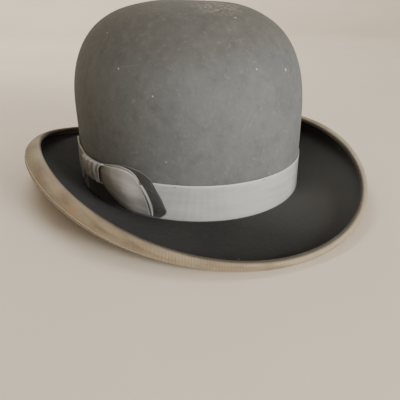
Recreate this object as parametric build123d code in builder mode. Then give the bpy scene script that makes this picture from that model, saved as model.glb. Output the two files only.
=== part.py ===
from build123d import *
import math
import os

# A bowler hat, in millimetres, at its real size.
# +Z is up, -Y is the front of the hat, and +X is the wearer's left, where the bow sits.
# The origin is on the surface that the hat stands on, under the middle of its brim.
#
# One oval rules the hat: the crown's outline where it meets the brim. Pieces on the crown
# are placed by their inset, which is their distance inside that oval (negative outside),
# and by their height above the break, which is the corner between crown and brim.

# --- Driving dimensions ---------------------------------------------------------------

CROWN_HALF_WIDTH = 86.2      # outside of the felt, at the break
CROWN_HALF_LENGTH = 102.2
CROWN_HEIGHT = 134.0         # break to the top of the crown
WALL_HEIGHT = 50.0           # the upright part of the crown, below the dome
DOME_POWER = 2.85            # 2 is a plain ellipse, higher is squarer at the shoulder
FELT = 2.0

BRIM_HALF_WIDTH = 129.0      # out to the binding, bow side and far side
BRIM_HALF_LENGTH = 164.0     # out to the binding, front and rear
CURL_HEIGHT_MEAN = 12.5      # height of the curl's centre above the break, mean and swing
CURL_HEIGHT_SWING = 10.5     # the sides are a mean plus a swing, the ends a mean less one
CURL_RADIUS_MEAN = 5.0       # radius of the rolled edge, at the middle of the felt
CURL_RADIUS_SWING = 2.5
CURL_ANGLE_MEAN = 62.0       # degrees past level, at which the felt ends
CURL_ANGLE_SWING = 44.0

RIBBON = 0.5                 # thickness of every grosgrain ribbon
GAP = 0.1                    # clearance between pieces that touch on the real hat
BINDING_GAP = 0.2            # the same between the binding and the felt, which curve together
BINDING_OUTSIDE_MEAN = 9.5    # width of the binding on the outside of the curl, mean and swing
BINDING_OUTSIDE_SWING = 3.0
BINDING_INSIDE = 5.0

BAND_LOW = 1.6               # hat band, a one-inch ribbon that starts just above the brim
BAND_WIDTH = 25.0

LEATHER = 0.85
LEATHER_INSET = 3.1          # outer face of the sweatband
SWEATBAND_LOW = 2.7
SWEATBAND_HIGH = 50.0
REED_RADIUS = 0.8
REED_INSET = 3.5
REED_HEIGHT = 1.2

LINING = 0.3
LINING_INSET = 2.3
LINING_LOW = 18.0            # tucked well down behind the sweatband
LINING_SEAM = 108.0          # height of the seam between the lining's side and its tip

THREAD_RADIUS = 0.25

# --- Worked out from the above --------------------------------------------------------

# The felt's middle line ends this far inside the binding's outermost point.
EDGE_BUILD_UP = FELT / 2 + BINDING_GAP + RIBBON
# The binding's lowest point, at the front and the rear, stands on the ground.
BREAK_Z = (CURL_RADIUS_MEAN - CURL_RADIUS_SWING) + EDGE_BUILD_UP - (CURL_HEIGHT_MEAN - CURL_HEIGHT_SWING)
FORM_RADIUS = 100.0          # the crown is revolved at this radius and then drawn to its oval
DOME_POINTS = 15
SECTION_STEP = 10            # degrees between the brim's sections
BAND_OUTSET = GAP + RIBBON   # outer face of the hat band


# --- The crown's shape ----------------------------------------------------------------


def dome_point(step, inset):
    """One point of the dome's half profile, at the form radius."""
    turn = math.pi / 2 * step / DOME_POINTS
    radius = FORM_RADIUS * math.cos(turn) ** (2 / DOME_POWER)
    rise = (CROWN_HEIGHT - WALL_HEIGHT - inset) * math.sin(turn) ** (2 / DOME_POWER)
    return (radius, BREAK_Z + WALL_HEIGHT + rise)


def crown_form(inset, low):
    """A solid block of the crown's shape, drawn in by inset, standing on height low."""
    bottom = BREAK_Z + low
    wall_top = (FORM_RADIUS, BREAK_Z + WALL_HEIGHT)
    summit = (0, BREAK_Z + CROWN_HEIGHT - inset)
    shoulder = [dome_point(step, inset) for step in range(1, DOME_POINTS)]
    with BuildPart() as form:
        with BuildSketch(Plane.XZ):
            with BuildLine():
                Polyline(summit, (0, bottom), (FORM_RADIUS, bottom), wall_top)
                Spline(wall_top, *shoulder, summit, tangents=((0, 1), (-1, 0)))
            make_face()
        revolve(axis=Axis.Z)
        x_scale = (CROWN_HALF_WIDTH - inset) / FORM_RADIUS
        y_scale = (CROWN_HALF_LENGTH - inset) / FORM_RADIUS
        scale(by=(x_scale, y_scale, 1))
    return form.part


def crown_shell(inset, thickness, low):
    """A skin of the crown's shape, open at the bottom."""
    with BuildPart() as shell:
        add(crown_form(inset, low))
        add(crown_form(inset + thickness, low - FELT), mode=Mode.SUBTRACT)
    return shell.part


def oval_ring(inset, thickness, low, high):
    """An upright oval strip that follows the crown's wall."""
    with BuildPart() as ring:
        with BuildSketch(Plane.XY.offset(BREAK_Z + low)):
            Ellipse(CROWN_HALF_WIDTH - inset, CROWN_HALF_LENGTH - inset)
            deeper = inset + thickness
            Ellipse(CROWN_HALF_WIDTH - deeper, CROWN_HALF_LENGTH - deeper, mode=Mode.SUBTRACT)
        extrude(amount=high - low)
    return ring.part


def wall_point(angle, outset):
    """A point in plan, outset from the crown's oval. Angle 0 is +X and 90 is the rear."""
    turn = math.radians(angle)
    x = (CROWN_HALF_WIDTH + outset) * math.cos(turn)
    y = (CROWN_HALF_LENGTH + outset) * math.sin(turn)
    return Vector(x, y)


def wall_plane(angle, outset, height):
    """A plane on the crown's wall: its x runs round the hat and its normal points outwards."""
    ahead = wall_point(angle + 1, outset)
    behind = wall_point(angle - 1, outset)
    tangent = (ahead - behind).normalized()
    origin = wall_point(angle, outset) + Vector(0, 0, BREAK_Z + height)
    return Plane(origin=origin, x_dir=tangent, z_dir=tangent.cross(Vector(0, 0, 1)))


# --- The brim's shape -----------------------------------------------------------------
# A section of the brim leaves the break in a straight line and ends in the curl, an arc
# that the line meets smoothly. Places on it are given by how far back they lie from the
# felt's edge, along the middle of the felt, and by how far above that middle.


def side_share(angle):
    """1 at the sides of the hat, -1 at its front and rear."""
    return math.cos(2 * math.radians(angle))


def brim_root(angle):
    return wall_point(angle, 0)


def brim_tip(angle):
    turn = math.radians(angle)
    return Vector(BRIM_HALF_WIDTH * math.cos(turn), BRIM_HALF_LENGTH * math.sin(turn))


def curl(angle):
    """The curl at one section: its centre as (distance out, height), radius and end angle."""
    share = side_share(angle)
    radius = CURL_RADIUS_MEAN + CURL_RADIUS_SWING * share
    height = CURL_HEIGHT_MEAN + CURL_HEIGHT_SWING * share
    end = math.radians(CURL_ANGLE_MEAN + CURL_ANGLE_SWING * share)
    distance = (brim_tip(angle) - brim_root(angle)).length - radius - EDGE_BUILD_UP
    return (distance, height), radius, end


def brim_slope(angle):
    """The straight part's slope, and its length from the break to the curl."""
    (distance, height), radius, _ = curl(angle)
    reach = math.hypot(distance, height)
    slope = math.atan2(height, distance) - math.asin(radius / reach)
    return slope, math.sqrt(reach**2 - radius**2)


def curl_length(angle):
    """The length of the curl along the middle of the felt."""
    _, radius, end = curl(angle)
    slope, _ = brim_slope(angle)
    return radius * (end - slope + math.pi / 2)


def section_point(angle, back, above):
    """(distance out, height) of a place on one section of the brim."""
    (distance, height), radius, end = curl(angle)
    slope, straight = brim_slope(angle)
    if back <= curl_length(angle):
        turn = end - back / radius
        return (
            distance + (radius - above) * math.cos(turn),
            height + (radius - above) * math.sin(turn),
        )
    along = straight - (back - curl_length(angle))
    return (
        along * math.cos(slope) - above * math.sin(slope),
        along * math.sin(slope) + above * math.cos(slope),
    )


def section_plane(angle):
    """The upright plane that holds one section: x points outwards and y up."""
    outwards = (brim_tip(angle) - brim_root(angle)).normalized()
    origin = brim_root(angle) + Vector(0, 0, BREAK_Z)
    return Plane(origin=origin, x_dir=outwards, z_dir=outwards.cross(Vector(0, 0, 1)))


def brim_point(angle, back, above):
    """The same place in space."""
    distance, height = section_point(angle, back, above)
    return section_plane(angle).from_local_coords(Vector(distance, height))


SECTION_ANGLES = range(-90, 91, SECTION_STEP)


def even_curve(points):
    """A smooth curve with evenly spaced knots, so that curves from all sections match."""
    steps = len(points) - 1
    knots = [step / steps for step in range(steps + 1)]
    return Edge.make_spline([Vector(*point) for point in points], parameters=knots)


# --- Felt body: crown and brim, one piece of stiffened felt -----------------------------

ROOT_BURIED = FELT / 2       # the brim starts halfway through the crown's wall
WALL_FOOT = -0.8 * FELT      # the wall's lower edge, just below the brim's underside
CURL_STEPS = 10              # points along the curl at each section


def felt_section(angle):
    """The felt's outline at one section: the underside, the edge, the top and the root."""
    _, straight = brim_slope(angle)
    arc = curl_length(angle)
    half = FELT / 2
    backs = [arc * (1 - step / CURL_STEPS) for step in range(CURL_STEPS + 1)]
    outer = even_curve([section_point(angle, back, -half) for back in backs])
    inner = even_curve([section_point(angle, back, half) for back in backs])
    root = arc + straight + ROOT_BURIED
    with BuildSketch(section_plane(angle)) as section:
        with BuildLine():
            lower = Line(section_point(angle, root, -half), outer @ 0)
            add(outer)
            Line(outer @ 1, inner @ 1)
            add(inner)
            upper = Line(section_point(angle, root, half), inner @ 0)
            Line(lower @ 0, upper @ 0)
        make_face()
    return section.sketch


with BuildPart() as brim_half:
    loft([felt_section(angle) for angle in SECTION_ANGLES])

with BuildPart() as felt_body:
    add(crown_shell(0, FELT, WALL_FOOT))
    add(brim_half.part)
    add(brim_half.part.mirror(Plane.YZ))
felt_body.part.label = "felt_body"


# --- Brim binding: one ribbon folded over the felt's edge ------------------------------

STRIP_STEPS = 13             # points across the binding's outside
INNER_STEPS = 7


def outside_width(angle):
    return BINDING_OUTSIDE_MEAN + BINDING_OUTSIDE_SWING * side_share(angle)


def strip_points(angle, width, steps, above):
    """Points across one side of the binding, from its free edge to the felt's edge."""
    return [section_point(angle, width * (1 - step / steps), above) for step in range(steps + 1)]


def edge_point(angle, beyond):
    """The middle of the fold, beyond the felt's edge by the given distance."""
    (distance, height), radius, end = curl(angle)
    return (
        distance + radius * math.cos(end) - beyond * math.sin(end),
        height + radius * math.sin(end) + beyond * math.cos(end),
    )


def binding_section(angle):
    """A long thin U: the ribbon outside the curl, round the felt's edge and inside it."""
    near = FELT / 2 + BINDING_GAP
    far = near + RIBBON
    wide = outside_width(angle)
    outside_far = even_curve(strip_points(angle, wide, STRIP_STEPS, -far))
    outside_near = even_curve(strip_points(angle, wide, STRIP_STEPS, -near))
    inside_far = even_curve(strip_points(angle, BINDING_INSIDE, INNER_STEPS, far))
    inside_near = even_curve(strip_points(angle, BINDING_INSIDE, INNER_STEPS, near))
    with BuildSketch(section_plane(angle)) as section:
        with BuildLine():
            add([outside_far, outside_near, inside_far, inside_near])
            ThreePointArc(outside_far @ 1, edge_point(angle, far), inside_far @ 1)
            ThreePointArc(outside_near @ 1, edge_point(angle, near), inside_near @ 1)
            Line(outside_far @ 0, outside_near @ 0)
            Line(inside_far @ 0, inside_near @ 0)
        make_face()
    return section.sketch


with BuildPart() as binding_half:
    loft([binding_section(angle) for angle in SECTION_ANGLES])

with BuildPart() as brim_binding:
    add(binding_half.part)
    add(binding_half.part.mirror(Plane.YZ))
brim_binding.part.label = "brim_binding"


# --- Binding stitches: a row along the binding's outer edge -----------------------------

BINDING_STITCHES = 150
STITCH_LENGTH = 3.2
STITCH_FROM_EDGE = 1.5


def along_brim(angle, back, above):
    """A plane on the brim whose normal runs round the hat."""
    here = brim_point(angle, back, above)
    ahead = brim_point(angle + 0.5, back, above)
    return Plane(origin=here, z_dir=(ahead - here).normalized())


with BuildPart() as binding_stitches:
    outside = -(FELT / 2 + BINDING_GAP + RIBBON + THREAD_RADIUS + GAP)
    for index in range(BINDING_STITCHES):
        stitch_angle = 360 * (index + 0.5) / BINDING_STITCHES
        place = along_brim(stitch_angle, outside_width(stitch_angle) - STITCH_FROM_EDGE, outside)
        with Locations(place.location):
            Cylinder(THREAD_RADIUS, STITCH_LENGTH)
binding_stitches.part.label = "binding_stitches"


# --- Hat band: a ribbon round the crown, its ends meeting under the bow ------------------

BAND_JOIN_ANGLE = 16.0       # also the middle of the bow
BAND_JOIN_GAP = 0.6
BAND_HIGH = BAND_LOW + BAND_WIDTH

with BuildPart() as hat_band:
    add(oval_ring(-BAND_OUTSET, RIBBON, BAND_LOW, BAND_HIGH))
    with Locations(wall_plane(BAND_JOIN_ANGLE, 0, BAND_LOW + BAND_WIDTH / 2).location):
        Box(BAND_JOIN_GAP, 2 * BAND_WIDTH, 4 * FELT, mode=Mode.SUBTRACT)
hat_band.part.label = "hat_band"


# --- Band tacks: short stitches that hold the band's upper edge ---------------------------

BAND_TACK_ANGLES = range(60, 301, 40)
BAND_TACK_DROP = 1.2         # below the band's upper edge
TACK_LENGTH = 2.4


def tack(angle, outset, height):
    """One short stitch that lies on a ribbon, along the hat."""
    place = wall_plane(angle, outset + THREAD_RADIUS + GAP, height)
    with Locations(Plane(origin=place.origin, z_dir=place.x_dir).location):
        Cylinder(THREAD_RADIUS, TACK_LENGTH)


with BuildPart() as band_tacks:
    for tack_angle in BAND_TACK_ANGLES:
        tack(tack_angle, BAND_OUTSET, BAND_HIGH - BAND_TACK_DROP)
band_tacks.part.label = "band_tacks"


# --- The bow: a tail, two loops and the knot that gathers them ----------------------------
# Each ribbon is a strip drawn in plan and stood upright, then cut to its outline as seen
# from the side, where an outline is a list of (angle round the crown, height) corners.

RIBBON_PITCH = RIBBON + 0.15                      # from one ribbon layer to the next
TAIL_OUTSET = BAND_OUTSET + GAP                   # inner face of the tail
LOOP_UNDER_OUTSET = TAIL_OUTSET + RIBBON_PITCH + 0.3   # inner face of a loop's under layer
LOOP_OVER_OUTSET = LOOP_UNDER_OUTSET + RIBBON_PITCH + 0.2
LOOP_PUFF = 2.4              # how far a loop's upper layer swells, halfway along
KNOT_CLEARANCE = 0.4
BOW_STOCK = 42.0             # height of the upright strips before they are cut
OUTLINE_CORNER = 1.5
PLAN_STEPS = 8


def bow_outline(corners):
    """A block with the given outline, seen from the wearer's left, that reaches past the bow."""
    points = [(wall_point(angle, 0).Y, BREAK_Z + height) for angle, height in corners]
    with BuildPart() as block:
        with BuildSketch(Plane.YZ) as outline:
            with BuildLine():
                Polyline(*points, close=True)
            make_face()
            fillet(outline.vertices(), radius=OUTLINE_CORNER)
        extrude(amount=2 * CROWN_HALF_WIDTH)
    return block.part


def plan_curve(start, end, outset, puff=0.0):
    """A smooth line in plan that follows the crown, swelling outwards by puff on its way."""
    points = []
    for step in range(PLAN_STEPS + 1):
        share = step / PLAN_STEPS
        swell = puff * math.sin(math.pi * share) ** 3
        points.append(wall_point(start + (end - start) * share, outset + swell))
    return Spline(*points)


def bow_loop(root, fold, corners):
    """A ribbon that runs from the knot to a rounded fold and back, over itself."""
    under, over = LOOP_UNDER_OUTSET, LOOP_OVER_OUTSET
    middle = (under + over + RIBBON) / 2
    half_depth = (over + RIBBON - under) / 2
    turn = math.copysign(math.degrees(1 / CROWN_HALF_LENGTH), fold - root)
    outside_fold = fold + turn * half_depth
    inside_fold = fold + turn * (half_depth - RIBBON)
    with BuildPart() as loop:
        with BuildSketch(Plane.XY.offset(BREAK_Z)):
            with BuildLine():
                outside = plan_curve(root, fold, over + RIBBON, LOOP_PUFF)
                inside = plan_curve(root, fold, over, LOOP_PUFF)
                back_inside = plan_curve(root, fold, under + RIBBON)
                back_outside = plan_curve(root, fold, under)
                ThreePointArc(outside @ 1, wall_point(outside_fold, middle), back_outside @ 1)
                ThreePointArc(inside @ 1, wall_point(inside_fold, middle), back_inside @ 1)
                Line(outside @ 0, inside @ 0)
                Line(back_outside @ 0, back_inside @ 0)
            make_face()
        extrude(amount=BOW_STOCK)
        add(bow_outline(corners), mode=Mode.INTERSECT)
    return loop.part


LOOP_WAIST_LOW = 19.2
LOOP_WAIST_HIGH = 30.2
BOW_HALF_GAP = 0.5           # degrees between the loops' gathered ends, inside the knot

REAR_LOOP_TOP = [(10, LOOP_WAIST_HIGH), (23, LOOP_WAIST_HIGH), (33, 33.5), (41, 34), (46, 30), (60, 10)]
REAR_LOOP_FOOT = [(60, 3), (38, 3), (23, LOOP_WAIST_LOW), (10, LOOP_WAIST_LOW)]
FRONT_LOOP_TOP = [(20, LOOP_WAIST_HIGH), (8, LOOP_WAIST_HIGH), (-12, 33), (-30, 30)]
FRONT_LOOP_FOOT = [(-30, 5), (-12, 4), (8, LOOP_WAIST_LOW), (20, LOOP_WAIST_LOW)]
TAIL_OUTLINE = [(23, 28), (38, 34), (46, 34), (50, 28), (56.5, 7.5), (53.5, 2), (38, 2), (23, 18)]

bow_loop_rear = bow_loop(BAND_JOIN_ANGLE + BOW_HALF_GAP, 48, REAR_LOOP_TOP + REAR_LOOP_FOOT)
bow_loop_rear.label = "bow_loop_rear"

bow_loop_front = bow_loop(BAND_JOIN_ANGLE - BOW_HALF_GAP, -22, FRONT_LOOP_TOP + FRONT_LOOP_FOOT)
bow_loop_front.label = "bow_loop_front"

with BuildPart() as bow_tail:
    add(oval_ring(-(TAIL_OUTSET + RIBBON), RIBBON, 0, BOW_STOCK))
    add(bow_outline(TAIL_OUTLINE), mode=Mode.INTERSECT)
bow_tail.part.label = "bow_tail"

KNOT_WIDTH = 20.0            # round the hat
KNOT_CORNER = 0.7
KNOT_INNER = TAIL_OUTSET + RIBBON                 # the hole in the knot, nearest the crown
KNOT_DEPTH = LOOP_OVER_OUTSET + RIBBON + KNOT_CLEARANCE - KNOT_INNER
KNOT_HEIGHT = LOOP_WAIST_HIGH - LOOP_WAIST_LOW + 2 * KNOT_CLEARANCE

with BuildPart() as bow_knot:
    waist = (LOOP_WAIST_LOW + LOOP_WAIST_HIGH) / 2
    seat = wall_plane(BAND_JOIN_ANGLE, KNOT_INNER + KNOT_DEPTH / 2, waist)
    with BuildSketch(Plane(origin=seat.origin, x_dir=seat.z_dir, z_dir=seat.x_dir)):
        RectangleRounded(KNOT_DEPTH + 2 * RIBBON, KNOT_HEIGHT + 2 * RIBBON, KNOT_CORNER + RIBBON)
        RectangleRounded(KNOT_DEPTH, KNOT_HEIGHT, KNOT_CORNER, mode=Mode.SUBTRACT)
    extrude(amount=KNOT_WIDTH / 2, both=True)
bow_knot.part.label = "bow_knot"


# --- Bow tacks: the stitches that hold the tail and the knot down -------------------------

KNOT_TACK_DROP = 2.5         # below the loops' gathered waist

with BuildPart() as bow_tacks:
    tack(53, TAIL_OUTSET + RIBBON, 8)
    tack(50, TAIL_OUTSET + RIBBON, 21)
    for turn in (-3, 3):
        tack(BAND_JOIN_ANGLE + turn, BAND_OUTSET, LOOP_WAIST_LOW - KNOT_TACK_DROP)
bow_tacks.part.label = "bow_tacks"


# --- Sweatband: a leather strip inside the opening, its ends meeting at the rear ----------

REAR = 90.0
SWEATBAND_JOIN_GAP = 0.5

with BuildPart() as sweatband:
    add(oval_ring(LEATHER_INSET, LEATHER, SWEATBAND_LOW, SWEATBAND_HIGH))
    with Locations(wall_plane(REAR, -LEATHER_INSET, SWEATBAND_HIGH / 2).location):
        Box(SWEATBAND_JOIN_GAP, 2 * SWEATBAND_HIGH, 4 * FELT, mode=Mode.SUBTRACT)
sweatband.part.label = "sweatband"


# --- Reed and its casing: the stiff cord along the sweatband's lower edge ------------------

CASING = 0.35                # thickness of the oiled tape
CASING_HIGH = 9.0            # the tape runs up behind the leather to here
CASING_TAIL_INSET = 2.4


def draw_to_oval(inset):
    """Draws a ring that was revolved at the form radius into the oval at this inset."""
    scale(by=((CROWN_HALF_WIDTH - inset) / FORM_RADIUS, (CROWN_HALF_LENGTH - inset) / FORM_RADIUS, 1))


with BuildPart() as sweatband_reed:
    with BuildSketch(Plane.XZ):
        with Locations((FORM_RADIUS, BREAK_Z + REED_HEIGHT)):
            Circle(REED_RADIUS)
    revolve(axis=Axis.Z)
    draw_to_oval(REED_INSET)
sweatband_reed.part.label = "sweatband_reed"

with BuildPart() as reed_casing:
    with BuildSketch(Plane.XZ):
        with Locations((FORM_RADIUS, BREAK_Z + REED_HEIGHT)):
            Circle(REED_RADIUS + GAP + CASING)
        tail_out = FORM_RADIUS + REED_INSET - CASING_TAIL_INSET
        tail_rise = CASING_HIGH - REED_HEIGHT
        with Locations((tail_out, BREAK_Z + REED_HEIGHT)):
            Rectangle(CASING, tail_rise, align=(Align.MAX, Align.MIN))
        with Locations((FORM_RADIUS, BREAK_Z + REED_HEIGHT)):
            Circle(REED_RADIUS + GAP, mode=Mode.SUBTRACT)
    revolve(axis=Axis.Z)
    draw_to_oval(REED_INSET)
reed_casing.part.label = "reed_casing"


# --- Sweatband stitches: the row that sews the leather to the casing ------------------------

SWEATBAND_STITCHES = 110

with BuildPart() as sweatband_stitches:
    for index in range(SWEATBAND_STITCHES):
        stitch_angle = 360 * (index + 0.5) / SWEATBAND_STITCHES
        inside = -(LEATHER_INSET + LEATHER + THREAD_RADIUS + GAP)
        place = wall_plane(stitch_angle, inside, SWEATBAND_LOW + 2.0)
        with Locations(Plane(origin=place.origin, z_dir=place.x_dir).location):
            Cylinder(THREAD_RADIUS, STITCH_LENGTH)
sweatband_stitches.part.label = "sweatband_stitches"


# --- Behind the sweatband: the tape on its rear join, and the blank size ticket -------------

SLIP_INSET = 2.75
SLIP = 0.2


def slip_behind(angle, width, low, high):
    """A thin slip of the given width that lies flat behind the leather."""
    with BuildPart() as slip:
        add(oval_ring(SLIP_INSET, SLIP, low, high))
        with Locations(wall_plane(angle, 0, (low + high) / 2).location):
            Box(width, 2 * (high - low), 12 * FELT, mode=Mode.INTERSECT)
    return slip.part


sweatband_joint_tape = slip_behind(REAR, 12.0, 11.0, 47.0)
sweatband_joint_tape.label = "sweatband_joint_tape"

size_ticket = slip_behind(-60.0, 32.0, 12.0, 40.0)
size_ticket.label = "size_ticket"


# --- Sweatband bow: the small flat bow that covers the rear join ----------------------------

SMALL_BOW_HALF = 11.0
SMALL_BOW_HEIGHT = 9.0
SMALL_BOW_WAIST = 3.0
SMALL_BOW_THICKNESS = 0.8

with BuildPart() as sweatband_bow:
    bow_outset = -(LEATHER_INSET + LEATHER + 1.0)
    place = wall_plane(REAR, bow_outset, SWEATBAND_HIGH - 8.0)
    with BuildSketch(Plane(origin=place.origin, x_dir=place.x_dir, z_dir=-place.z_dir)):
        with BuildLine():
            half, high, low = SMALL_BOW_HALF, SMALL_BOW_HEIGHT / 2, SMALL_BOW_WAIST / 2
            wing = [(half, high), (half, -high), (0, -low)]
            Polyline((0, low), *wing, (-half, -high), (-half, high), close=True)
        make_face()
        Rectangle(4.0, 5.0)
    extrude(amount=SMALL_BOW_THICKNESS)
sweatband_bow.part.label = "sweatband_bow"


# --- Lining: satin side, satin tip and the piping in the seam between them ------------------

PIPING_RADIUS = 0.9
PIPING_CLEAR = 1.35          # from the lining to the middle of the piping
SEAM_HALF_GAP = 0.2

with BuildPart() as lining_side:
    add(crown_shell(LINING_INSET, LINING, LINING_LOW))
    split(bisect_by=Plane.XY.offset(BREAK_Z + LINING_SEAM - SEAM_HALF_GAP), keep=Keep.BOTTOM)
lining_side.part.label = "lining_side"

with BuildPart() as lining_tip:
    add(crown_shell(LINING_INSET, LINING, LINING_LOW))
    split(bisect_by=Plane.XY.offset(BREAK_Z + LINING_SEAM + SEAM_HALF_GAP), keep=Keep.TOP)
lining_tip.part.label = "lining_tip"


def dome_share(height, inset):
    """How wide the dome is at a height, as a share of its width at the wall."""
    rise = (height - WALL_HEIGHT) / (CROWN_HEIGHT - WALL_HEIGHT - inset)
    return (1 - rise**DOME_POWER) ** (1 / DOME_POWER)


with BuildPart() as lining_piping:
    piping_inset = LINING_INSET + LINING
    share = dome_share(LINING_SEAM, piping_inset)
    with BuildSketch(Plane.XZ):
        with Locations((FORM_RADIUS, BREAK_Z + LINING_SEAM - PIPING_RADIUS)):
            Circle(PIPING_RADIUS)
    revolve(axis=Axis.Z)
    x_scale = ((CROWN_HALF_WIDTH - piping_inset) * share - PIPING_CLEAR) / FORM_RADIUS
    y_scale = ((CROWN_HALF_LENGTH - piping_inset) * share - PIPING_CLEAR) / FORM_RADIUS
    scale(by=(x_scale, y_scale, 1))
lining_piping.part.label = "lining_piping"


# --- Writing the parts ------------------------------------------------------------------

os.makedirs("parts", exist_ok=True)
export_step(felt_body.part, "parts/felt_body.step")
export_step(brim_binding.part, "parts/brim_binding.step")
export_step(binding_stitches.part, "parts/binding_stitches.step")
export_step(hat_band.part, "parts/hat_band.step")
export_step(band_tacks.part, "parts/band_tacks.step")
export_step(bow_loop_rear, "parts/bow_loop_rear.step")
export_step(bow_loop_front, "parts/bow_loop_front.step")
export_step(bow_tail.part, "parts/bow_tail.step")
export_step(bow_knot.part, "parts/bow_knot.step")
export_step(bow_tacks.part, "parts/bow_tacks.step")
export_step(sweatband.part, "parts/sweatband.step")
export_step(sweatband_reed.part, "parts/sweatband_reed.step")
export_step(reed_casing.part, "parts/reed_casing.step")
export_step(sweatband_stitches.part, "parts/sweatband_stitches.step")
export_step(sweatband_joint_tape, "parts/sweatband_joint_tape.step")
export_step(size_ticket, "parts/size_ticket.step")
export_step(sweatband_bow.part, "parts/sweatband_bow.step")
export_step(lining_side.part, "parts/lining_side.step")
export_step(lining_tip.part, "parts/lining_tip.step")
export_step(lining_piping.part, "parts/lining_piping.step")
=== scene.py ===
import math

import bmesh
import bpy
import numpy as np
from mathutils import Matrix, Vector


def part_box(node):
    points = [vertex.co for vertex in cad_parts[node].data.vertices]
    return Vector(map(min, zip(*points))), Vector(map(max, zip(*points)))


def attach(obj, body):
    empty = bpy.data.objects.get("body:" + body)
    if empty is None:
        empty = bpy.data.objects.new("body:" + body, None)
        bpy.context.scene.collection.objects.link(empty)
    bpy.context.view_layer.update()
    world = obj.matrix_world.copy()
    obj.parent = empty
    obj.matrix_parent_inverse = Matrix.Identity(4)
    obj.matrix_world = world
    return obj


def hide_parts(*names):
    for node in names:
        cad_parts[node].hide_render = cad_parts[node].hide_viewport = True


# The looks of a bowler hat. Metres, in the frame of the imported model: +Z up, -Y the front of
# the hat, +X the wearer's left. Angles round the hat run from +X (0) to the rear, +Y (90).

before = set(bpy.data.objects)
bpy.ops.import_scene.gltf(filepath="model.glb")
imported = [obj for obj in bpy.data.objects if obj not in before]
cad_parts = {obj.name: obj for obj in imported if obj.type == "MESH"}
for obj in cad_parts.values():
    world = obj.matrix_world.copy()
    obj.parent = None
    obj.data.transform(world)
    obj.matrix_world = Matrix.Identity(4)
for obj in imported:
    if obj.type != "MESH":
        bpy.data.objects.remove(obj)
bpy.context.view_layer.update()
MM = 0.001
PI = math.pi

# --- Sizes read from the frame ---

RIBBON = 0.5 * MM
RIBBON_GAP = 0.1 * MM
FELT = 2.0 * MM
BAND_FOOT = 1.6 * MM         # height of the band's lower edge above the break

band_low, band_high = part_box("hat_band")
felt_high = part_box("felt_body")[1]
binding_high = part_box("brim_binding")[1]
leather_low, leather_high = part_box("sweatband")
lining_low, lining_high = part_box("lining_side")
piping_low, piping_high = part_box("lining_piping")

HALF_WIDTH = band_high.x - RIBBON - RIBBON_GAP       # outside of the felt at the break
HALF_LENGTH = band_high.y - RIBBON - RIBBON_GAP
BREAK_Z = band_low.z - BAND_FOOT                     # the corner between crown and brim
CROWN_HEIGHT = felt_high.z - BREAK_Z
WALL_HEIGHT = 50 * MM
DOME_POWER = 2.85
BRIM_HALF_WIDTH = binding_high.x
BRIM_HALF_LENGTH = binding_high.y

# The brim's curl: each value is its mean and how much it swings between sides and ends.
CURL_HEIGHT = (12.5 * MM, 10.5 * MM)
CURL_RADIUS = (5.0 * MM, 2.5 * MM)
CURL_END = (math.radians(62), math.radians(44))
BINDING_GAP = 0.2 * MM
EDGE_BUILD_UP = FELT / 2 + BINDING_GAP + RIBBON

# The binding's width outside the curl (mean and swing, like the curl's) and inside it.
BINDING_OUTSIDE = (9.5 * MM, 3.0 * MM)
BINDING_INSIDE = 5.0 * MM
BINDING_REST = 0.12 * MM     # between the binding and the felt
STITCH_FROM_EDGE = 1.5 * MM

AROUND = 288                 # steps round the hat


# --- The hat's shape ---


def smooth_step(value, start, end):
    t = np.clip((value - start) / (end - start), 0, 1)
    return t * t * (3 - 2 * t)


def full_turn(count):
    return np.linspace(0, 2 * PI, count, endpoint=False)


def turns(count=AROUND):
    """Angles all the way round the hat, as a column."""
    return full_turn(count)[:, None]


def join_axes(x, y, z):
    """Points from coordinates that may be arrays of any shapes that broadcast."""
    return np.stack(np.broadcast_arrays(x, y, z), -1)


def dome_share(height, inset):
    """The crown's width at a height above the break, as a share of its width at the wall."""
    rise = np.clip((height - WALL_HEIGHT) / (CROWN_HEIGHT - WALL_HEIGHT - inset), 0, 1)
    return (1 - rise**DOME_POWER) ** (1 / DOME_POWER)


def crown_heights(inset, low, wall_rows, dome_rows):
    """Heights above the break, from low to the summit, close together on the shoulder."""
    wall = np.linspace(low, WALL_HEIGHT, wall_rows, endpoint=False)
    turn = np.linspace(0, PI / 2, dome_rows)
    rise = np.sin(turn) ** (2 / DOME_POWER)
    return np.concatenate([wall, WALL_HEIGHT + (CROWN_HEIGHT - WALL_HEIGHT - inset) * rise])


def crown_points(angle, inset, height):
    """Points on the crown drawn in by inset. All three may be arrays that broadcast."""
    share = dome_share(height, inset)
    x = (HALF_WIDTH - inset) * share * np.cos(angle)
    y = (HALF_LENGTH - inset) * share * np.sin(angle)
    return join_axes(x, y, BREAK_Z + height + 0 * angle)


def curl(angle):
    """Centre (distance out, height), radius and end angle of the curl."""
    share = np.cos(2 * angle)
    radius = CURL_RADIUS[0] + CURL_RADIUS[1] * share
    height = CURL_HEIGHT[0] + CURL_HEIGHT[1] * share
    end = CURL_END[0] + CURL_END[1] * share
    root, tip = brim_root(angle), brim_tip(angle)
    reach = np.linalg.norm(tip - root, axis=-1)
    return reach - radius - EDGE_BUILD_UP, height, radius, end


def brim_root(angle):
    return np.stack([HALF_WIDTH * np.cos(angle), HALF_LENGTH * np.sin(angle)], -1)


def brim_tip(angle):
    return np.stack([BRIM_HALF_WIDTH * np.cos(angle), BRIM_HALF_LENGTH * np.sin(angle)], -1)


def brim_lengths(angle):
    """The slope of the straight part, its length, and the length of the curl."""
    distance, height, radius, end = curl(angle)
    reach = np.hypot(distance, height)
    slope = np.arctan2(height, distance) - np.arcsin(radius / reach)
    straight = np.sqrt(reach**2 - radius**2)
    return slope, straight, radius * (end - slope + PI / 2)


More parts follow.
